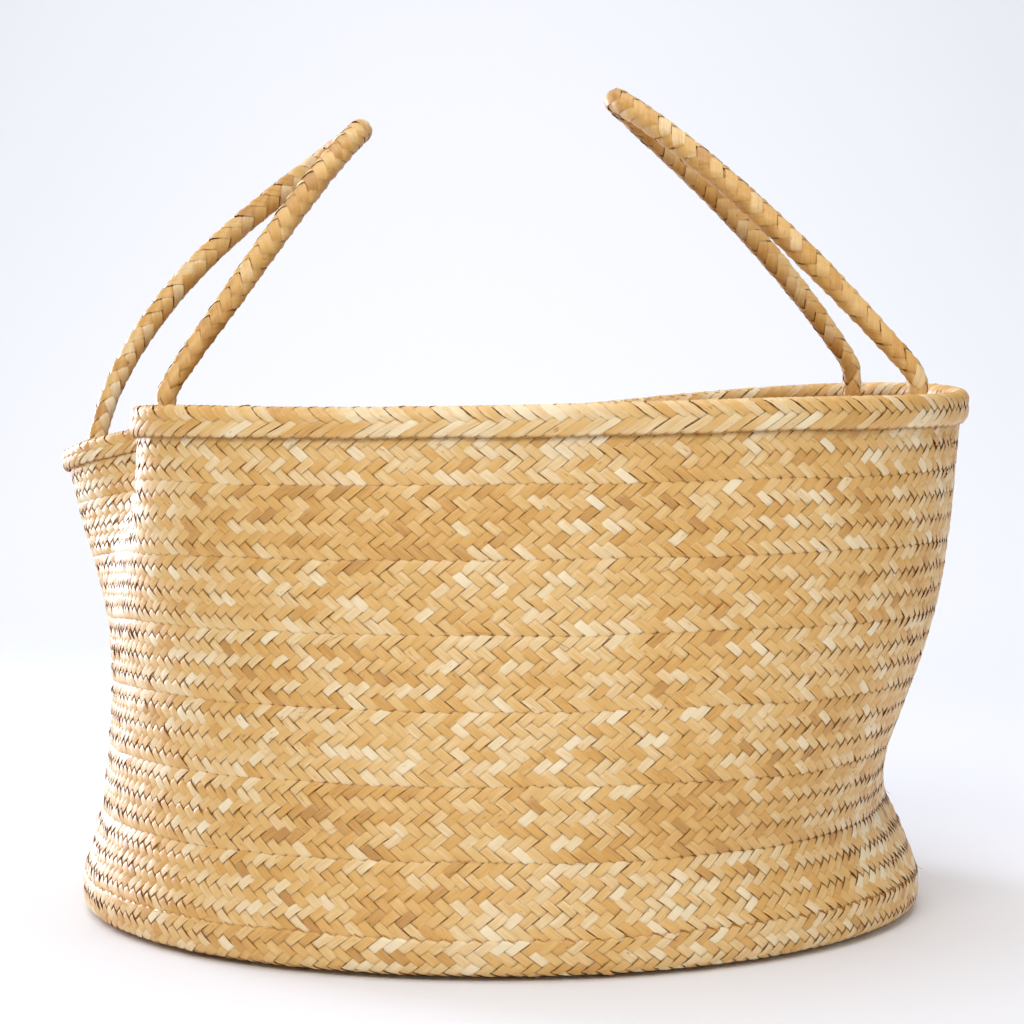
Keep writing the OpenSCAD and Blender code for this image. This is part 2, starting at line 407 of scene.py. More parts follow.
def wall_sheet(node: str, keep: float = 0.45) -> Sheet:
    """Builds the middle surface of one turn of the wall.

    Args:
        node: the turn's node, whose section has three heights with an inner and an outer point each.
        keep: how much of the section's hollow or crown is kept.

    Returns:
        The surface from its lower edge to its upper one.
    """
    _, columns = ring_levels(node)
    pairs = columns.reshape(len(columns), 3, 2, 3).mean(axis=2)
    low, middle, high = even_round(pairs.transpose(1, 0, 2))
    middle = keep * middle + (1 - keep) / 2 * (low + high)
    y = np.linspace(0, 1, 9)[:, None, None]
    return Sheet(low * (1 - y) * (1 - 2 * y) + middle * 4 * y * (1 - y) + high * y * (2 * y - 1), True)


def arc_path(r_in: np.ndarray, r_out: np.ndarray, top: np.ndarray, z: float, bend: float,
             steps: int = 33) -> np.ndarray:
    """Works out a section that runs flat, bends up and ends upright, at even steps.

    Args:
        r_in, r_out, top: the inner radius, outer radius and top height at each angle.
        z: height of the flat part.
        bend: radius of the bend.
        steps: number of points.

    Returns:
        Radius and height, with the first axis along the section.
    """
    flat = r_out - bend - r_in
    turn = bend * math.pi / 2
    rise = top - z - bend
    total = flat + turn + rise
    rows = []
    for k in range(steps):
        s = total * k / (steps - 1)
        a = np.clip((s - flat) / bend, 0, math.pi / 2)
        r = r_in + np.minimum(s, flat) + bend * np.sin(a)
        h = z + bend * (1 - np.cos(a)) + np.maximum(s - flat - turn, 0)
        rows.append(np.stack([r, h], axis=-1))
    return np.array(rows)


def heel_sheet(node: str, thick: float, bend: float, lift: float = 2.2 * MM) -> Sheet:
    """Builds the middle surface of the turn that bends up from the base.

    Args:
        node: the heel's node.
        thick: the strap's thickness.
        bend: radius of the outer bend.
        lift: how far the bend's underside stands off the floor.

    Returns:
        The surface from its inner edge to its upper one.
    """
    steps, columns = ring_levels(node)
    radius = np.hypot(columns[..., 0], columns[..., 1])
    r_in = radius.min(axis=1)
    top = columns[..., 2].max(axis=1)
    r_out = radius.max(axis=1) - thick / 2
    r, z = np.moveaxis(arc_path(r_in, r_out, top, thick / 2, bend - thick / 2), -1, 0)
    near = np.clip((r - r_out + 34 * MM) / (28 * MM), 0, 1)
    low = np.clip(1 - z / top, 0, 1)
    return Sheet(even_round(round_points(r, np.radians(steps), z + lift * smooth(near) * low)), True)


def disc_sheet(inner: float, outer: float, z: float) -> Sheet:
    """Builds a flat ring's middle surface, from its inner to its outer edge."""
    a = np.arange(ROUND) * math.tau / ROUND
    rows = [round_points(r, a, np.full(ROUND, z)) for r in np.linspace(inner, outer, 5)]
    return Sheet(np.array(rows), True)


def rim_sheet(node: str, inset: float = 2.5 * MM, short: float = 1.2 * MM, leg: float = 0.36) -> Sheet:
    """Builds the folded surface of the rim binding.

    Args:
        node: the binding's node.
        inset: how far the middle surface lies inside the node's faces.
        short: how far the fold's edges end above the node's.
        leg: the share of the width that hangs on either side of the crown.

    Returns:
        The surface that runs up the outside, over the crown and down the inside.
    """
    steps, columns = ring_levels(node)
    radius = np.hypot(columns[..., 0], columns[..., 1])
    lowest = columns[..., 2].min(axis=1)
    highest = columns[..., 2].max(axis=1)
    outer, inner = radius.max(axis=1), radius.min(axis=1)
    low_rows = [np.sort(radius[i][np.abs(columns[i][:, 2] - lowest[i]) < 2e-4]) for i in range(len(steps))]
    low_in = np.array([r[0] for r in low_rows])
    low_out = np.array([r[-1] for r in low_rows])
    half = (low_out - low_in) / 2
    middle = (low_out + low_in) / 2
    lean = ((outer + inner) / 2 - middle) / np.maximum(highest - lowest, 1e-6)
    lowest = lowest + short
    crown = highest - half
    rows = []
    for u in np.linspace(0, 1, 25):
        t = np.clip((u - leg) / (1 - 2 * leg), 0, 1) * math.pi
        up = min(u, 1 - u, leg) / leg
        h = lowest + (crown - lowest) * up + (half - inset) * math.sin(t)
        r = middle + lean * (h - lowest) + (half - inset) * math.cos(t)
        rows.append(round_points(r, np.radians(steps), h))
    return Sheet(even_round(np.array(rows)), True)


@dataclass
class Rod:
    """The middle line of a rod-shaped node, from one flat end to the other."""

    line: np.ndarray

    @classmethod
    def from_node(cls, node: str, first_near: Vector) -> "Rod":
        """Reads a rod node's rings.

        Args:
            node: a node whose mesh is rings of points between two flat ends.
            first_near: a point near the end to start from.

        Returns:
            The rod's middle line.
        """
        points, edges, faces = merged_points(node)
        near = [set() for _ in points]
        for a, b in edges:
            near[a].add(b)
            near[b].add(a)
        caps = []
        for face in faces:
            p, q, r = points[face[0]], points[face[1]], points[face[2]]
            n = np.cross(q - p, r - p)
            size = np.linalg.norm(n)
            if size < 1e-14:
                continue
            flat = np.where(np.abs((points - p) @ (n / size)) < 2e-6)[0]
            if len(flat) >= 9:
                caps.append(frozenset(flat.tolist()))
        ends = sorted(set(caps), key=lambda c: (Vector(points[list(c)].mean(axis=0)) - first_near).length)
        layer, seen, line = set(ends[0]), set(ends[0]), []
        while layer:
            line.append(points[list(layer)].mean(axis=0))
            layer = {m for k in layer for m in near[k]} - seen
            seen |= layer
        return cls(np.array(line))


def tube_sheet(line: np.ndarray, radius: Callable[[np.ndarray], np.ndarray], seam: Vector) -> Sheet:
    """Builds a tube's surface along a line.

    Args:
        line: the tube's middle line.
        radius: the tube's radius for shares 0 to 1 of its length.
        seam: the direction that the first row of the plait faces at the start.

    Returns:
        The surface, with y going round the tube.
    """
    step = np.linalg.norm(np.diff(line, axis=0), axis=1)
    run = np.concatenate([[0], np.cumsum(step)])
    count = 260
    at = np.interp(np.linspace(0, run[-1], count), run, np.arange(len(run)))
    path = spline(line, at, False)
    along = np.gradient(path, axis=0)
    along /= np.linalg.norm(along, axis=1, keepdims=True)
    side = np.array(seam, float)
    frames = []
    for t in along:
        side = side - t * (side @ t)
        side /= np.linalg.norm(side)
        frames.append(side)
    u = np.array(frames)
    v = np.cross(along, u)
    r = radius(np.linspace(0, 1, count))[:, None]
    turns = -np.linspace(0, math.tau, 33)
    sheet = Sheet(np.array([path + r * (u * math.cos(a) + v * math.sin(a)) for a in turns]), False)
    sheet.length = float(run[-1])
    outward = ((sheet.points - path[None]) * sheet.normals).sum()
    if outward < 0:
        raise ValueError("the tube's surface faces inwards")
    return sheet


# ------------------------------------------------------------------ plait


class Slant(Enum):
    """Which way a strand climbs, seen from outside."""

    RISING = 1
    FALLING = -1


def grid_mesh(columns: int, rows: int) -> tuple[bmesh.types.BMesh, dict, dict]:
    """Makes a flat grid to be rolled into a strip or a tube.

    Args:
        columns: segments round the strip.
        rows: segments along it.

    Returns:
        The mesh, and each point's column and row number.
    """
    bm = bmesh.new()
    bmesh.ops.create_grid(bm, x_segments=columns, y_segments=rows, size=1.0)
    column = {v: round((v.co.x + 1) / 2 * columns) for v in bm.verts}
    row = {v: round((v.co.y + 1) / 2 * rows) for v in bm.verts}
    return bm, column, row


@dataclass
class Plait:
    """A flat braid in which each float covers some strands and then dives under as many."""

    rows: int
    row_h: float
    pitch: float
    floats: int = 2
    first: Slant = Slant.FALLING
    width: float = 0.98
    relief: float = 0.72 * MM
    thick: float = 0.40 * MM
    dome: float = 0.22 * MM
    strap_round: float = 0.02 * MM
    shingle: float = 0.10 * MM
    tone: float = 0.5
    spread: float = 0.155
    tube: bool = False
    seed: int = 1

    CUTS: ClassVar[tuple] = (0.0, 0.10, 0.26, 0.5, 0.74, 0.90)
    TUCK: ClassVar[float] = 0.24
    AROUND: ClassVar[int] = 4

    @property
    def run(self) -> float:
        """How far a strand runs along the strap in one row."""
        return self.pitch * self.floats / 2

    def row_steps(self) -> list[float]:
        """Gives the places along a strand, in rows, with the ends a little past the strap's edges."""
        steps = [r + c for r in range(self.rows) for c in self.CUTS] + [float(self.rows)]
        return steps if self.tube else [-self.TUCK, *steps, self.rows + self.TUCK]

    def height(self, along: float, slant: Slant) -> float:
        """How far out a strand's middle lies.

        Args:
            along: place along the strand, in rows.
            slant: the strand's way.

        Returns:
            Metres out of the strap's middle surface.
        """
        up = 1 if slant == self.first else -1
        here = along if self.tube else min(max(along, 0.07), self.rows - 0.07)
        wave = math.tanh(2.4 * math.sin(math.pi * here)) / math.tanh(2.4)
        past = (0.6 * max(0.0, -along) + 1.1 * max(0.0, along - self.rows)) * self.row_h
        return up * self.relief * wave - past

    def squared(self, along: float) -> float:
        """Tells how far a strand's cut is turned level, from half at the strap's edges to 0 inside."""
        if self.tube:
            return 0.0
        near = min(along, self.rows - along)
        return 0.5 * (1 - smooth(min(max(near / 0.35, 0.0), 1.0)))

    def strand(self, slant: Slant) -> bpy.types.Object:
        """Shapes one flat strand and closes it into a lens-shaped strip.

        Its cuts run along the other family of strands, so that floats end in a zigzag.

        Args:
            slant: the way that it climbs.

        Returns:
            An object whose x runs along the strap, y across it in rows, and z out of it.
        """
        steps = self.row_steps()
        bm, column, row = grid_mesh(self.AROUND, len(steps) - 1)
        layer = bm.loops.layers.uv.new("OFBake")
        for f in bm.faces:
            side = 0.0 if sum(column[v] for v in f.verts) / 4 < self.AROUND / 2 else 1.0
            for loop in f.loops:
                loop[layer].uv = (side, 0.0)
            f.smooth = True
        for v in bm.verts:
            turn = column[v] / self.AROUND * math.tau
            along = steps[row[v]]
            across = 0.5 / self.floats * self.width * math.cos(turn)
            level = along + across * self.squared(along)
            depth = math.sin(turn) * (self.dome if math.sin(turn) > 0 else self.thick)
            v.co = (slant.value * (level + across) * self.run, level - across,
                    self.height(along, slant) + depth)
        for e in bm.edges:
            level_a, level_b = (column[v] for v in e.verts)
            e.smooth = not (level_a == level_b and level_a % (self.AROUND // 2) == 0)
        bmesh.ops.remove_doubles(bm, verts=bm.verts, dist=1e-7)
        bmesh.ops.holes_fill(bm, edges=[e for e in bm.edges if e.is_boundary], sides=0)
        bmesh.ops.recalc_face_normals(bm, faces=bm.faces)
        return add_object("strand", bm)

    def lay(self, name: str, sheet: Sheet, material: bpy.types.Material,
            shift: Optional[Callable[[np.ndarray, np.ndarray], np.ndarray]] = None) -> bpy.types.Object:
        """Repeats the strands along a strap and lays them on its surface.

        Args:
            name: the piece's name.
            sheet: the strap's middle surface.
            material: the strands' finish.
            shift: moves points across the strap, by place along and across it.

        Returns:
            The finished piece, at the origin.
        """
        rng = np.random.default_rng(self.seed)
        count = round(sheet.length / self.pitch)
        pitch = sheet.length / count
        count += 0 if sheet.closed else math.ceil(self.rows * self.floats / 2)
        parts = []
        for slant in Slant:
            single = self.strand(slant)
            repeat = single.modifiers.new("repeat", "ARRAY")
            repeat.count = count
            repeat.use_relative_offset = False
            repeat.use_constant_offset = True
            repeat.constant_offset_displace = (self.pitch, 0.0, 0.0)
            bpy.context.view_layer.update()
            graph = bpy.context.evaluated_depsgraph_get()
            mesh = bpy.data.meshes.new_from_object(single.evaluated_get(graph))
            self.shape(mesh, len(single.data.vertices), count, pitch, slant, sheet, rng, shift)
            bpy.data.objects.remove(single)
            part = bpy.data.objects.new(name, mesh)
            bpy.context.scene.collection.objects.link(part)
            parts.append(part)
        return join(name, parts, material)

    def tones(self, rng: np.random.Generator, count: int) -> np.ndarray:
        """Draws every float's tone: bundles of like strands, strands, and floats that aged apart.

        Args:
            rng: the strap's random numbers.
            count: number of strands.

        Returns:
            A tone for each strand and row.
        """
        slow = rng.normal(0, 1, count)
        kernel = np.hanning(15)
        kernel /= np.sqrt((kernel**2).sum())
        bundle = np.real(np.fft.ifft(np.fft.fft(slow) * np.fft.fft(kernel, count)))
        strand = rng.normal(0, 1, count)
        single = rng.normal(0, 1, (count, self.rows + 1))
        odd = rng.random((count, self.rows + 1))
        single += np.where(odd > 0.91, 1.6, 0) - np.where(odd < 0.006, 1.2, 0)
        return self.tone + self.spread * (0.55 * bundle[:, None] + 0.7 * strand[:, None] + 0.75 * single)

    def shape(self, mesh: bpy.types.Mesh, each: int, count: int, pitch: float, slant: Slant, sheet: Sheet,
              rng: np.random.Generator, shift: Optional[Callable]) -> None:
        """Gives every strand its own small faults, its tone and its place on the surface.

        Args:
            mesh: the repeated strands.
            each: points in one strand.
            count: number of strands.
            pitch: distance between strands.
            slant: their way.
            sheet: the strap's surface.
            rng: the strap's random numbers.
            shift: moves points across the strap, or None.
        """
        total = len(mesh.vertices)
        co = np.empty(total * 3)
        mesh.vertices.foreach_get("co", co)
        co = co.reshape(-1, 3)
        strand = np.minimum(np.arange(total) // each, count - 1)
        run = slant.value * (co[:, 0] - strand * self.pitch) / self.run
        along, across = (run + co[:, 1]) / 2, (run - co[:, 1]) / 2
        k = np.clip(np.floor(along), 0, self.rows - 1).astype(int)
        share = np.clip(along - k, 0, 1)
        bulge = np.sin(math.pi * share)
        narrow = rng.uniform(0.90, 1.07, count)[strand]
        slip = rng.normal(0, 0.035, count)[strand]
        slip += rng.normal(0, 0.035, (count, self.rows + 1))[strand, k] * bulge
        lift = rng.normal(0, 0.10 * MM, (count, self.rows + 1))
        lift += np.where(rng.random((count, self.rows + 1)) > 0.985, 0.7 * MM, 0)
        roll = rng.normal(0, 0.20 * MM, (count, self.rows + 1))
        side = across * 2 * self.floats
        out = co[:, 2] + (lift[strand, k] + roll[strand, k] * side) * bulge
        run_here = self.run * pitch / self.pitch
        x = slant.value * (along + across * narrow + slip) * run_here + strand * pitch
        x = x + (0.5 * pitch if slant == Slant.FALLING else 0.0)
        y = along - across * narrow
        if not sheet.closed:
            x = x - (self.rows * run_here if slant == Slant.RISING else 0.0)
            x = np.clip(x, 0, sheet.length)
        v = y / self.rows
        if self.tube:
            v = v % 1.0
        else:
            edge = 2 * np.clip(v, 0, 1) - 1
            out = out - self.strap_round * np.abs(edge) ** 8 - self.shingle * edge
        if shift is not None:
            v = v + shift(x, v)
        mesh.vertices.foreach_set("co", sheet.place(x, v, out).ravel())
        wide = math.hypot(self.run, self.row_h)
        fibre = np.stack([across * wide, along * wide, rng.uniform(0, 40, count)[strand]], axis=-1)
        mesh.attributes.new("fibre", "FLOAT_VECTOR", "POINT").data.foreach_set("vector", fibre.ravel())
        tone = self.tones(rng, count)[strand, k]
        mesh.attributes.new("tone", "FLOAT", "POINT").data.foreach_set("value", tone)
        # depth: how far a point lies above or below the strand's middle; the straw material paints shade on
        # the low points.
        depth = np.clip(co[:, 2] / self.relief, -1, 1)
        mesh.attributes.new("depth", "FLOAT", "POINT").data.foreach_set("value", depth)
        bands = max(1, round(math.sqrt(count * 0.5 / self.rows)))
        per = math.ceil(count / bands)
        band, order = strand // per, strand % per
        u = (order + 0.5 + 0.46 * side * self.width) / per
        w = (band + (along + 0.3) / (self.rows + 0.6)) / bands
        self.spread_map(mesh, u, w, slant)
        mesh.update()

    @staticmethod
    def spread_map(mesh: bpy.types.Mesh, u: np.ndarray, v: np.ndarray, slant: Slant) -> None:
        """Lays the strands side by side on a map, one quarter for each side and slant.

        Args:
            mesh: the repeated strands.
            u, v: each point's place within its quarter.
            slant: the strands' way.
        """
        corners = np.empty(len(mesh.loops), dtype=int)
        mesh.loops.foreach_get("vertex_index", corners)
        layer = mesh.uv_layers["OFBake"]
        old = np.empty(len(mesh.loops) * 2)
        layer.uv.foreach_get("vector", old)
        top = old.reshape(-1, 2)[:, 0] < 0.5
        column = 0.0 if slant == Slant.RISING else 0.5
        uv = np.stack([column + 0.5 * u[corners], np.where(top, 0.0, 0.5) + 0.5 * v[corners]], axis=-1)
        layer.uv.foreach_set("vector", uv.ravel())


# ------------------------------------------------------------------ cords


@dataclass
class Cord:
    """A thin twisted thread along one or more lines."""

    radius: float
    sides: int = 5

    def build(self, name: str, lines: Sequence[np.ndarray], material: bpy.types.Material) -> bpy.types.Object:
        """Sweeps the thread along every line.

        Args:
            name: the piece's name.
            lines: the middle lines.
            material: the thread's finish.

        Returns:
            The piece.
        """
        bm = bmesh.new()
        layer = bm.loops.layers.uv.new("OFBake")
        for number, line in enumerate(lines):
            start = len(bm.verts)
            bmesh.ops.create_grid(bm, x_segments=self.sides, y_segments=len(line) - 1, size=1.0)
            bm.verts.ensure_lookup_table()
            fresh = bm.verts[start:]
            along = np.gradient(line, axis=0)
            along /= np.maximum(np.linalg.norm(along, axis=1, keepdims=True), 1e-12)
            side = np.cross(along, (0.31, 0.52, 0.79))
            side /= np.maximum(np.linalg.norm(side, axis=1, keepdims=True), 1e-12)
            other = np.cross(along, side)
            place = {v: (round((v.co.x + 1) / 2 * self.sides), round((v.co.y + 1) / 2 * (len(line) - 1)))
                     for v in fresh}
            for f in {f for v in fresh for f in v.link_faces}:
                f.smooth = True
                for loop in f.loops:
                    c, r = place[loop.vert]
                    loop[layer].uv = (r / (len(line) - 1), (number + 0.9 * c / self.sides) / len(lines))
            for v in fresh:
                c, r = place[v]
                a = c / self.sides * math.tau
                v.co = line[r] + self.radius * (math.cos(a) * side[r] + math.sin(a) * other[r])
        bmesh.ops.recalc_face_normals(bm, faces=bm.faces)
        piece = add_object(name, bm)
        piece.data.materials.append(material)
        return piece


def add_object(name: str, bm: bmesh.types.BMesh) -> bpy.types.Object:
    """Turns a finished bmesh into an object at the origin."""
    mesh = bpy.data.meshes.new(name)
    bm.to_mesh(mesh)
    bm.free()
    thing = bpy.data.objects.new(name, mesh)
    bpy.context.scene.collection.objects.link(thing)
    return thing


def join(name: str, parts: Sequence[bpy.types.Object], material: bpy.types.Material) -> bpy.types.Object:
    """Joins objects into the first and gives the result one finish."""
    with bpy.context.temp_override(active_object=parts[0], object=parts[0], selected_objects=parts,
                                   selected_editable_objects=parts):
        bpy.ops.object.join()
    piece = parts[0]
    piece.name = piece.data.name = name
    piece.data.materials.clear()
    piece.data.materials.append(material)
    return piece


def stand_in(piece: bpy.types.Object, node: str) -> None:
    """Ties a finished piece to the basket's body and hides the node that it stands for."""
    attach(piece, "root")
    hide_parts(node)
    log.info("%s: %d faces", piece.name, len(piece.data.polygons))


def islands(node: str) -> list[np.ndarray]:
    """Splits a node's points into its separate solids."""
    points, edges, _ = merged_points(node)
    group = np.arange(len(points))
    changed = True
    while changed:
        low = np.minimum(group[edges[:, 0]], group[edges[:, 1]])
        before = group.copy()
        np.minimum.at(group, edges[:, 0], low)
        np.minimum.at(group, edges[:, 1], low)
        group = group[group]
        changed = bool((before != group).any())
    return [points[group == g] for g in np.unique(group)]


# ------------------------------------------------------------------ the basket


def seam_wander(seam: int, turn: np.ndarray) -> np.ndarray:
    """How far a seam strays from its even height round the basket.

    Args:
        seam: the seam's number, from the bottom.
        turn: angles round the basket, in radians.

    Returns:
        Metres up.
    """
    rng = np.random.default_rng(500 + seam)
    waves = [(3, 0.30), (5, 0.28), (8, 0.26), (13, 0.22), (22, 0.16), (37, 0.12)]
    return sum(a * MM * np.sin(k * turn + rng.uniform(0, math.tau)) for k, a in waves)


@dataclass
class Straps:
    """The plaited straps of the base and the wall, and the thread that joins them."""

    straw: Straw
    thread: Straw
    row_h: float = 6.4 * MM
    pitch: float = 7.8 * MM
    rows: int = 6
    thick: float = 4.0 * MM
    heel_thick: float = 2.0 * MM
    heel_bend: float = 7.5 * MM
    sheets: dict[str, Sheet] = field(default_factory=dict)

    def build(self) -> None:
        """Lays every turn of the strap and sews the turns together."""
        straw = self.straw.material()
        walls = sorted(n for n in frame["nodes"] if n.startswith("wall_course"))
        bases = sorted(n for n in frame["nodes"] if n.startswith("base_course"))
        self.base_centre(straw)
        for number, name in enumerate([*bases, "heel_course", *walls]):
            shift = None
            if name in walls:
                sheet = wall_sheet(name)
                level = walls.index(name)
                shift = self.wander(sheet, level, level + 1, level + 1 < len(walls))
            elif name == "heel_course":
                sheet = heel_sheet(name, self.heel_thick, self.heel_bend)
                shift = self.wander(sheet, None, 0, True)
            else:
                _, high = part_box(name)
                sheet = disc_sheet(self.inner_radius(name), high.x, self.thick / 2)
            self.sheets[name] = sheet
            plait = Plait(self.rows, self.row_h, self.pitch, seed=100 + number)
            stand_in(plait.lay(name + "_plait", sheet, straw, shift), name)
        self.lacing("wall_lacing", ["heel_course", *walls[:-1]])
        self.lacing("base_lacing", bases)

    def wander(self, sheet: Sheet, low: Optional[int], high: int, top: bool) -> Callable:
        """Makes the shift that lets a strap's two edges follow its seams.

        Args:
            sheet: the strap's surface.
            low: the lower seam's number, or None where the edge is straight.
            high: the upper seam's number.
            top: whether the upper edge strays too.

        Returns:
            A function of place along and across the strap.
        """
        tall = self.rows * self.row_h

        def shift(x: np.ndarray, v: np.ndarray) -> np.ndarray:
            turn = x / sheet.length * math.tau
            below = 0 if low is None else seam_wander(low, turn)
            above = seam_wander(high, turn) if top else 0
            return (below * (1 - v) + above * v) / tall

        return shift

    def base_centre(self, straw: bpy.types.Material) -> None:
        """Lays the small plaited round at the middle of the base."""
        _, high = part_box("base_centre")
        sheet = disc_sheet(4 * MM, high.x, self.thick / 2)
        plait = Plait(4, self.row_h, self.pitch, seed=99, relief=0.6 * MM)
        button = Cord(1.6 * MM, 6).build("button", [self.knot(high.x * 0.1)], straw)
        parts = [plait.lay("base_centre_plait", sheet, straw), button]
        stand_in(join("base_centre_plait", parts, straw), "base_centre")

    def knot(self, reach: float) -> np.ndarray:
        """Winds the line of the small coil that the base starts from."""
        t = np.linspace(0, 1, 60)
        turns = 2.2
        return round_points(0.5 * MM + reach * t, t * math.tau * turns, np.full(len(t), self.thick / 2))

    def lacing(self, node: str, below: Sequence[str]) -> None:
        """Winds the joining thread along the seam above each of some straps.

        Args:
            node: the thread's node.
            below: the straps whose far edges are sewn.
        """
        lines = []
        tall = self.rows * self.row_h
        for number, name in enumerate(below):
            sheet = self.sheets[name]
            turns = round(sheet.length / (2 * self.pitch))
            x = np.linspace(0, sheet.length, turns * 8 + 1)
            phase = x / sheet.length * turns * math.tau
            seam = seam_wander(number, x / sheet.length * math.tau) if node == "wall_lacing" else 0
            v = 1 + (0.6 * MM + 1.9 * MM * np.cos(phase) + seam) / tall
            lines.append(sheet.place(x, v, -1.1 * MM + 0.6 * MM * np.sin(phase)))
        stand_in(Cord(0.42 * MM, 4).build(node + "_thread", lines, self.thread.material()), node)

    @staticmethod
    def inner_radius(name: str) -> float:
        """Radius of a flat ring's hole."""
        points, _, _ = merged_points(name)
        return float(np.hypot(points[:, 0], points[:, 1]).min())


@dataclass
class Rim:
    """The folded binding round the top edge, and the stitches through it."""

    straw: Straw
    thread: Straw
    rows: int = 4
    row_h: float = 9.6 * MM
    pitch: float = 8.0 * MM
    stitch: float = 6.0 * MM
    sunk: float = 3.4 * MM

    def build(self) -> None:
        """Lays the binding's wide plait over the edge and sews it through."""
        sheet = rim_sheet("rim_binding")
        waves = [(3, 0.6, 0.010), (7, 1.9, 0.008), (16, 4.0, 0.006), (41, 0.3, 0.005)]

        def wavy(x: np.ndarray, v: np.ndarray) -> np.ndarray:
            turn = x / sheet.length * math.tau
            return sum(a * np.sin(k * turn + p) for k, p, a in waves) * np.clip(1 - 2.5 * v, 0, 1)

        plait = Plait(self.rows, self.row_h, self.pitch, floats=3, first=Slant.RISING, relief=0.8 * MM,
                      dome=0.34 * MM, thick=0.5 * MM, strap_round=0.7 * MM, shingle=0.0, tone=0.52, seed=7)
        binding = plait.lay("rim_binding_plait", sheet, self.straw.material(), wavy)
        stand_in(binding, "rim_binding")
        self.stitches()

    def stitches(self) -> None:
        """Winds a loop of thread in the place of each of the node's stitches."""
        loops = []
        for solid in islands("rim_thread"):
            middle = solid.mean(axis=0)
            out = np.array([middle[0], middle[1], 0]) / math.hypot(middle[0], middle[1])
            side = np.cross((0, 0, 1), out)
            reach = np.ptp(solid @ out) / 2 - self.sunk
            turn = np.linspace(0, math.tau, 17)[:, None]
            loops.append(middle + out * reach * np.cos(turn) + side * self.stitch / 2 * np.sin(turn))
        thread = Cord(0.5 * MM, 5).build("rim_stitches", loops, self.thread.material())
        stand_in(thread, "rim_thread")


@dataclass
class Handle:
    """One braided loop, with its two ends lashed inside the wall."""

    side: str
    straw: bpy.types.Material
    thread: bpy.types.Material
    radius: float = 6.4 * MM
    rows: int = 4
    pitch: float = 10.4 * MM
    slack: float = 9 * MM
    thin: float = 0.80

    def lines(self, pivot: Vector) -> tuple[np.ndarray, float]:
        """Joins the middle lines of the two tails and of the loop.

        Args:
            pivot: the middle of the hinge.

        Returns:
            The whole line, and the share of it that one tail takes.
        """
        core = Rod.from_node(self.side + "_handle_core", pivot - Vector((0, 0.1, 0))).line
        front = Rod.from_node(self.side + "_front_tail", Vector(core[0]) - Vector((0, 0, 1))).line
        back = Rod.from_node(self.side + "_back_tail", Vector(core[-1]) - Vector((0, 0, 1))).line
        if np.linalg.norm(core[0] - front[-1]) > np.linalg.norm(core[-1] - front[-1]):
            core = core[::-1]
        line = np.concatenate([front[:-1], front[-1:] * 0.5 + core[:1] * 0.5, core[1:-1],
                               core[-1:] * 0.5 + back[-1:] * 0.5, back[-2::-1]])
        tail = np.linalg.norm(np.diff(front, axis=0), axis=1).sum()
        return line, tail / np.linalg.norm(np.diff(line, axis=0), axis=1).sum()

    def build(self) -> None:
        """Lays the round plait from one lashed end to the other, and winds the lashings."""
        joint = next(j for j in frame["joints"] if j["name"] == self.side + "_handle_swing")
        pivot = Vector(joint["pos_m"])
        axis = Vector(joint["axis"]).normalized()
        up = (Vector((0, 0, 1)) - axis * axis.z).normalized()
        line, neck = self.lines(pivot)

        def radius(s: np.ndarray) -> np.ndarray:
            near = np.minimum(s, 1 - s)
            full = smooth(np.clip((near - neck) / 0.16, 0, 1))
            tip = np.clip(near / (neck * 0.12), 0.25, 1)
            return self.radius * (self.thin + (1 - self.thin) * full) * np.sqrt(tip)

        seam = Vector(frame["nodes"][self.side + "_front_tail"].data.vertices[0].co) * -1
        sheet = tube_sheet(line, radius, Vector((seam.x, seam.y, 0)))
        plait = Plait(self.rows, math.tau * self.radius / self.rows, self.pitch, tube=True, relief=0.62 * MM,
                      dome=0.42 * MM, thick=0.5 * MM, tone=0.44, seed=31 if self.side == "left" else 57)
        piece = plait.lay(self.side + "_handle_plait", sheet, self.straw)
        self.side + "_handle"
        pivot - up * self.slack
        pivot + up * self.slack
        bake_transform(piece)
        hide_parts(*(self.side + part for part in ("_handle_sleeve", "_handle_core", "_front_tail",
                                                           "_back_tail")))
        log.info("%s: %d faces", piece.name, len(piece.data.polygons))
        for end in ("_front", "_back"):
            self.lashing(self.side + end + "_lashing")

    def lashing(self, node: str) -> None:
        """Winds three turns of thread for every ring of a lashing.

        Args:
            node: the lashing's node.
        """
        loops = []
        for ring in islands(node):
            middle = ring.mean(axis=0)
            reach = np.hypot(*(ring - middle)[:, :2].T)
            radius = (reach.max() + reach.min()) / 2
            turn = np.linspace(0, math.tau, 33)
            for level in (-1, 0, 1):
                wobble = 0.15 * MM * np.sin(3 * turn + level)
                loops.append(middle + round_points(radius, turn, level * 0.85 * MM + wobble))
        stand_in(Cord(0.48 * MM, 5).build(node + "_thread", loops, self.thread), node)


@dataclass
class Strays:
    """Loose hair-thin fibres that stand off the seams."""

    sheets: dict[str, Sheet]
    straw: bpy.types.Material
    count: int = 130
    seed: int = 11

    def build(self) -> None:
        """Grows the fibres at random places near the strap edges."""
        rng = np.random.default_rng(self.seed)
        names = [n for n in self.sheets if n.startswith(("wall", "heel"))]
        lines = []
        for _ in range(self.count):
            sheet = self.sheets[names[rng.integers(len(names))]]
            x, v = rng.uniform(0, sheet.length), rng.choice([0.0, 0.17, 0.5, 0.83, 1.0]) + rng.normal(0, 0.03)
            s = np.linspace(0, 1, 9)
            reach, rise = rng.uniform(4, 15) * MM, rng.uniform(0.5, 3.5) * MM
            slope = rng.normal(0, 0.16)
            lines.append(sheet.place(x + rng.choice([-1, 1]) * reach * s, np.clip(v + slope * s, -0.1, 1.1),
                                     0.6 * MM + rise * s**1.6))
        piece = Cord(0.13 * MM, 3).build("stray_fibres", lines, self.straw)
        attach(piece, "root")


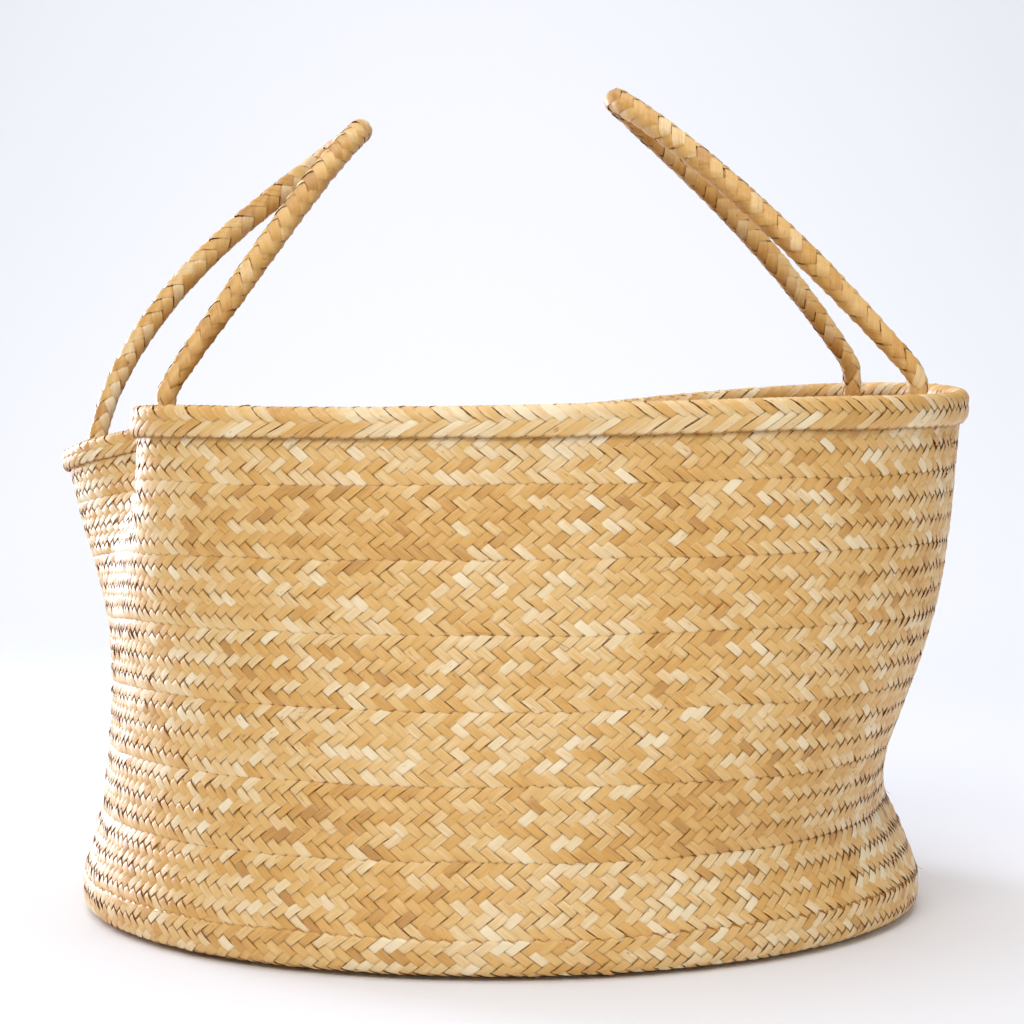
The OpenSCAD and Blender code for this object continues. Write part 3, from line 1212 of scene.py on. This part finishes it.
@dataclass(frozen=True)
class Lamp:
    """A soft square lamp: its place, what it faces, its width, watts, colour and spread in degrees."""

    name: str
    at: tuple[float, float, float]
    towards: tuple[float, float, float]
    size: float
    power: float
    colour: Colour
    spread: float = 180.0

    def build(self) -> None:
        """Hangs the lamp."""
        data = bpy.data.lights.new(self.name, "AREA")
        data.spread = math.radians(self.spread)
        data.size, data.energy, data.color = self.size, self.power, self.colour
        lamp = bpy.data.objects.new(self.name, data)
        lamp.location = self.at
        lamp.rotation_euler = (Vector(self.towards) - Vector(self.at)).to_track_quat("-Z", "Y").to_euler()
        bpy.context.scene.collection.objects.link(lamp)


@dataclass
class Studio:
    """Camera, light and floor."""

    distance: float = 1.6
    height: float = 0.300
    lens: float = 94.3
    tilt: float = 2.5
    aside: float = 0.0072
    sweep: float = 1.5
    bend: float = 3.2
    front: float = 5.0
    run: float = 12.0
    half_width: float = 7.0
    sky: Colour = (0.96, 0.95, 1.0)
    sky_strength: float = 0.34

    LAMPS: ClassVar[tuple[Lamp, ...]] = (
        Lamp("key", (-0.6, -2.1, 2.05), (0, 0, 0.2), 1.4, 34.5, (1.0, 0.985, 0.975)),
        Lamp("fill", (1.9, -1.7, 1.1), (0, 0, 0.2), 1.4, 7.0, (1.0, 0.94, 0.89)),
        Lamp("left_edge", (-1.9, 1.7, 0.75), (0, -0.05, 0.34), 1.3, 7.0, (0.82, 0.84, 1.0), 46.0),
        Lamp("top", (0.0, 0.3, 2.4), (0, 0.2, 0), 2.2, 29.0, (0.97, 0.98, 1.0)),
        Lamp("backdrop", (-0.1, 2.2, 2.6), (0.0, 4.2, 0.8), 3.0, 41.0, (0.99, 0.985, 1.0)),
    )

    def build(self) -> None:
        """Sets up the view, the sweep and the soft light."""
        scene = bpy.context.scene
        camera = bpy.data.objects.new("camera", bpy.data.cameras.new("camera"))
        camera.data.lens = self.lens
        camera.data.sensor_width = 36.0
        camera.location = (self.aside, -self.distance, self.height)
        camera.rotation_euler = (math.radians(90 - self.tilt), 0, 0)
        scene.collection.objects.link(camera)
        scene.camera = camera
        self.backdrop()
        for lamp in self.LAMPS:
            lamp.build()
        world = bpy.data.worlds.new("studio")
        world.use_nodes = True
        background = world.node_tree.nodes["Background"]
        background.inputs["Color"].default_value = (*self.sky, 1.0)
        background.inputs["Strength"].default_value = self.sky_strength
        scene.world = world
        scene.view_settings.view_transform = "Standard"
        scene.view_settings.look = "None"

    def backdrop(self) -> None:
        """Bends a wide plain sheet from the floor up into the background."""
        bm = bmesh.new()
        bmesh.ops.create_grid(bm, x_segments=1, y_segments=60, size=1.0)
        for v in bm.verts:
            run = (v.co.y + 1) / 2 * self.run - self.front
            turn = min(max((run - self.sweep) / self.bend, 0.0), math.pi / 2)
            rest = max(run - self.sweep - self.bend * math.pi / 2, 0.0)
            v.co = (v.co.x * self.half_width, min(run, self.sweep) + self.bend * math.sin(turn),
                    self.bend * (1 - math.cos(turn)) + rest)
        for f in bm.faces:
            f.smooth = True
        floor = add_object("floor", bm)
        floor.data.materials.append(Floor().material())


def main() -> None:
    """Builds the studio and every piece in order."""
    logging.basicConfig(level=logging.INFO, format="%(name)s: %(message)s")
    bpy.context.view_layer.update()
    Studio().build()
    thread = Straw("seam_thread", tone_shift=-0.12, rough=0.6, gloss=0.0)
    straps = Straps(Straw("seagrass_straw"), thread)
    straps.build()
    Rim(Straw("rim_straw", tone_shift=0.02, gloss=0.22, rough=0.42), thread).build()
    handle_straw = Straw("handle_straw", tone_shift=-0.03, gloss=0.2).material()
    lashing_thread = Straw("lashing_thread", tone_shift=-0.1, rough=0.6, gloss=0.0).material()
    for side in ("left", "right"):
        Handle(side, handle_straw, lashing_thread).build()
    Strays(straps.sheets, Straw("stray_straw", tone_shift=0.1).material()).build()


if __name__ == "__main__":
    main()
